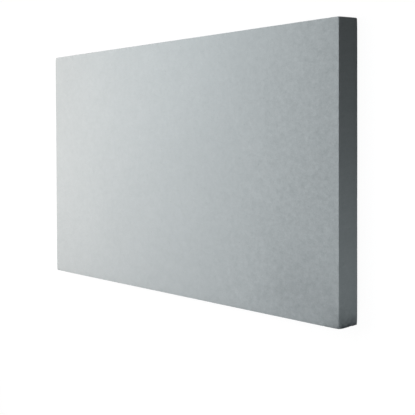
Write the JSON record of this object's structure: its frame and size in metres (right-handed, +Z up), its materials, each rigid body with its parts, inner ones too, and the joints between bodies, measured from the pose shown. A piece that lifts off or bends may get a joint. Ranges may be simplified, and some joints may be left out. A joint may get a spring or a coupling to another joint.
{
  "type": "insulation board",
  "caption": "Plain rectangular slab of calcium silicate insulation with flat faces, square edges and lightly rubbed arrises, lying flat.",
  "frame": {"origin": "middle of the back, at floor level, with the board lying flat on its back", "axes": "+X along the length, +Y across the width, +Z up through the thickness, out of the face"},
  "size_m": [1, 0.5, 0.04],
  "materials": {
    "calcium_silicate": "matte"
  },
  "bodies": {
    "root": {"board": "calcium_silicate"}
  },
  "joints": []
}
